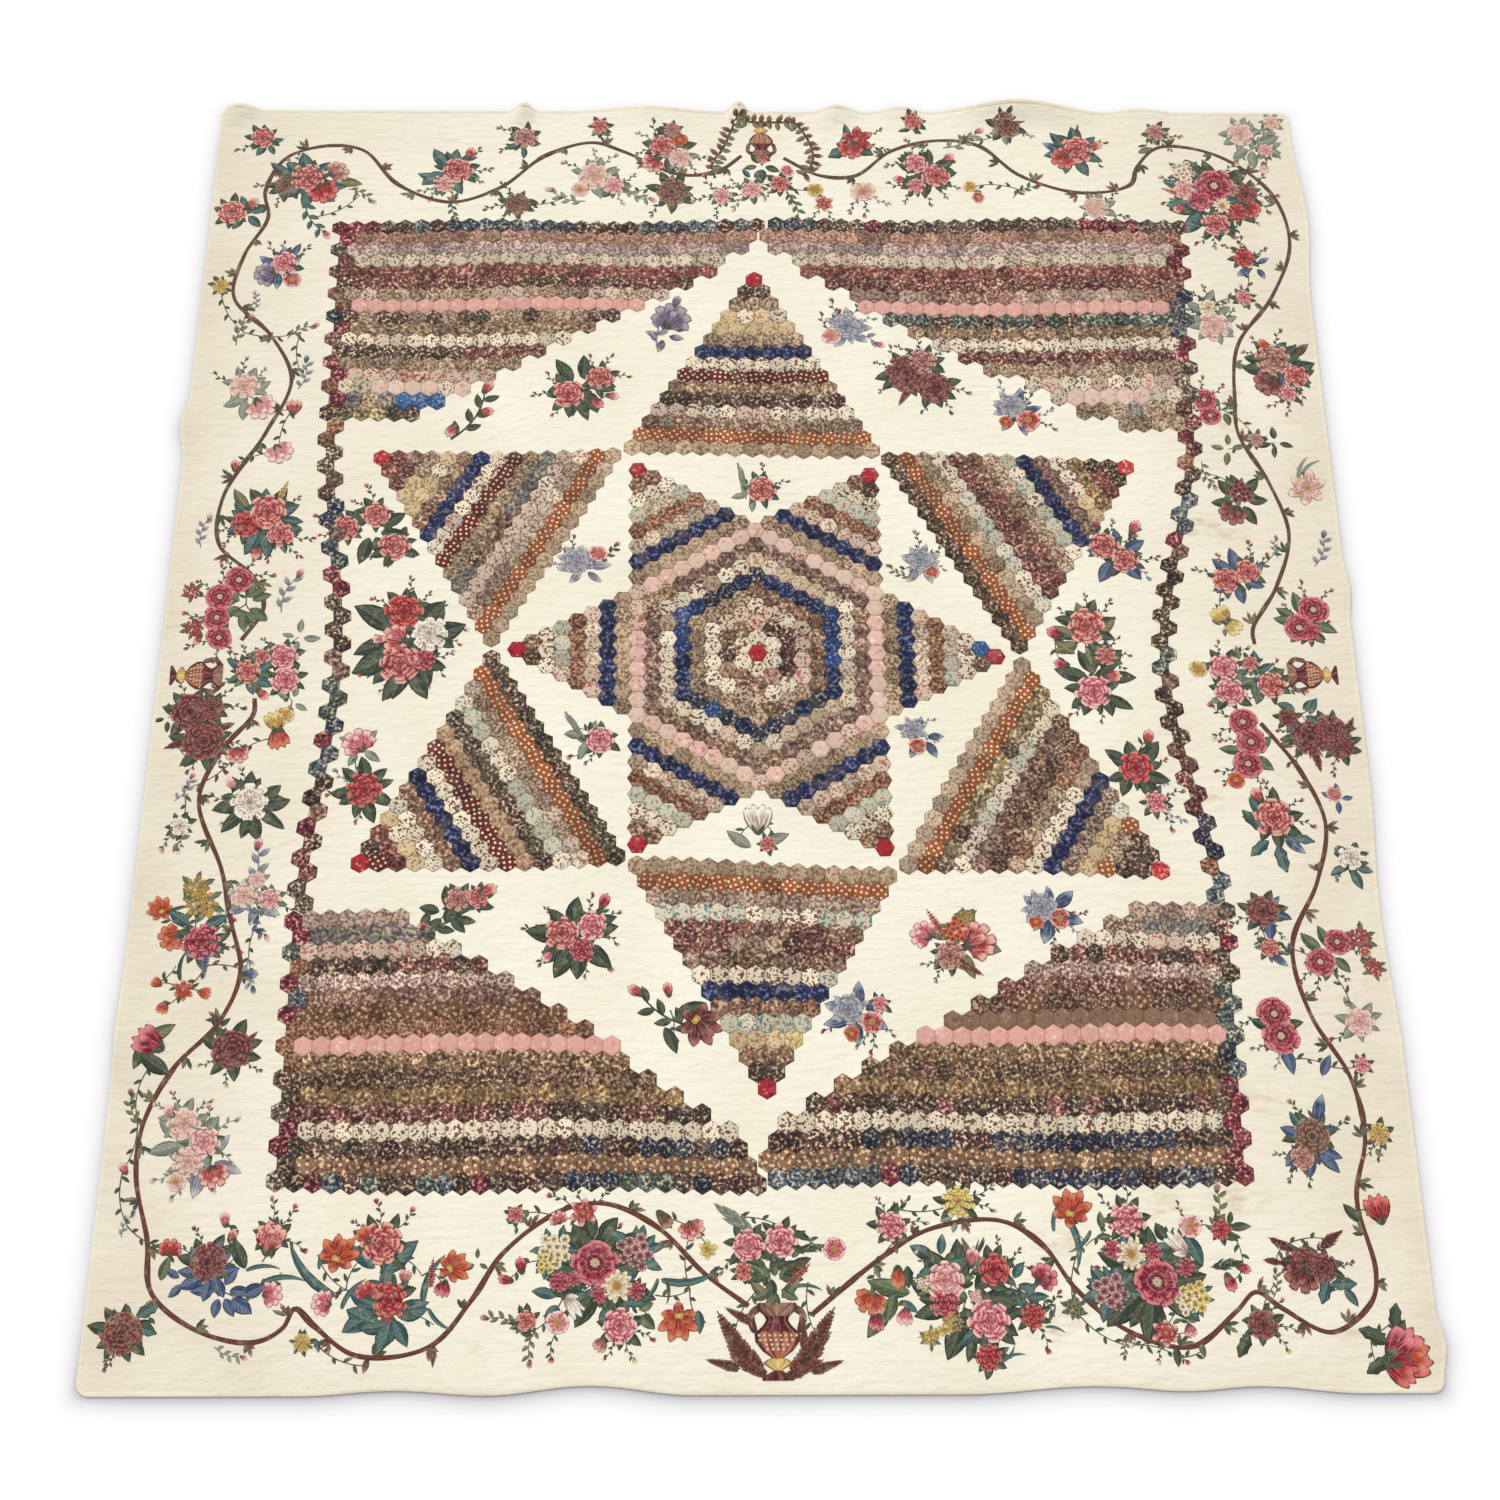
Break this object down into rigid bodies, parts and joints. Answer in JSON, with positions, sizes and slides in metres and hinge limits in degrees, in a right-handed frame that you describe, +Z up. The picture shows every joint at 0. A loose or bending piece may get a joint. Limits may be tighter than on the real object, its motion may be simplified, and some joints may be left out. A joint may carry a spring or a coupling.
{
  "type": "applique quilt",
  "caption": "Large flat cotton quilt with a hexagon mosaic star in its field and a flowering vine, urns and flower sprays applied round the border.",
  "frame": {"origin": "middle of the quilt's box, on the surface that it lies on", "axes": "+Z up out of the quilt's face, +Y towards its head end, +X to the right as seen from the foot"},
  "size_m": [2.5106, 2.8998, 0.029],
  "materials": {
    "ground_cotton": "matte cream cotton",
    "mosaic_prints": "matte printed cotton",
    "vine_print": "matte printed cotton",
    "urn_print": "matte printed cotton",
    "flower_prints": "matte printed cotton"
  },
  "bodies": {
    "root": {"chain_left": "mosaic_prints", "chain_right": "mosaic_prints", "cover": "ground_cotton", "mosaic_star": "mosaic_prints", "spray_field_foot_left": "flower_prints", "spray_field_foot_right": "flower_prints", "spray_field_head_left": "flower_prints", "spray_field_head_right": "flower_prints", "spray_field_left": "flower_prints", "spray_field_right": "flower_prints", "spray_foot_blue_leaf": "flower_prints", "spray_foot_bouquet_left": "flower_prints", "spray_foot_bouquet_middle": "flower_prints", "spray_foot_bouquet_right": "flower_prints", "spray_foot_cone": "flower_prints", "spray_foot_iris": "flower_prints", "spray_foot_plume": "flower_prints", "spray_foot_red": "flower_prints", "spray_head_blue_pink": "flower_prints", "spray_head_bouquet": "flower_prints", "spray_head_coral": "flower_prints", "spray_head_corner_left": "flower_prints", "spray_head_faded_pink": "flower_prints", "spray_head_pink_roses": "flower_prints", "spray_head_posy": "flower_prints", "spray_head_red": "flower_prints", "spray_head_rose_left": "flower_prints", "spray_head_teal_coral": "flower_prints", "spray_left_crimson": "flower_prints", "spray_left_faded": "flower_prints", "spray_left_lily": "flower_prints", "spray_left_peony": "flower_prints", "spray_left_plume": "flower_prints", "spray_left_roses": "flower_prints", "spray_right_blue_leaf": "flower_prints", "spray_right_dark": "flower_prints", "spray_right_maroon": "flower_prints", "spray_right_peony": "flower_prints", "triangle_foot": "mosaic_prints", "triangle_foot_left": "mosaic_prints", "triangle_foot_right": "mosaic_prints", "triangle_head": "mosaic_prints", "triangle_head_left": "mosaic_prints", "triangle_head_right": "mosaic_prints", "urn_foot": "urn_print", "urn_head": "urn_print", "urn_left": "urn_print", "urn_right": "urn_print", "vine_foot_left": "vine_print", "vine_foot_right": "vine_print", "vine_head_left": "vine_print", "vine_head_right": "vine_print", "wedge_foot_left": "mosaic_prints", "wedge_foot_right": "mosaic_prints", "wedge_head_left": "mosaic_prints", "wedge_head_right": "mosaic_prints"}
  },
  "joints": []
}
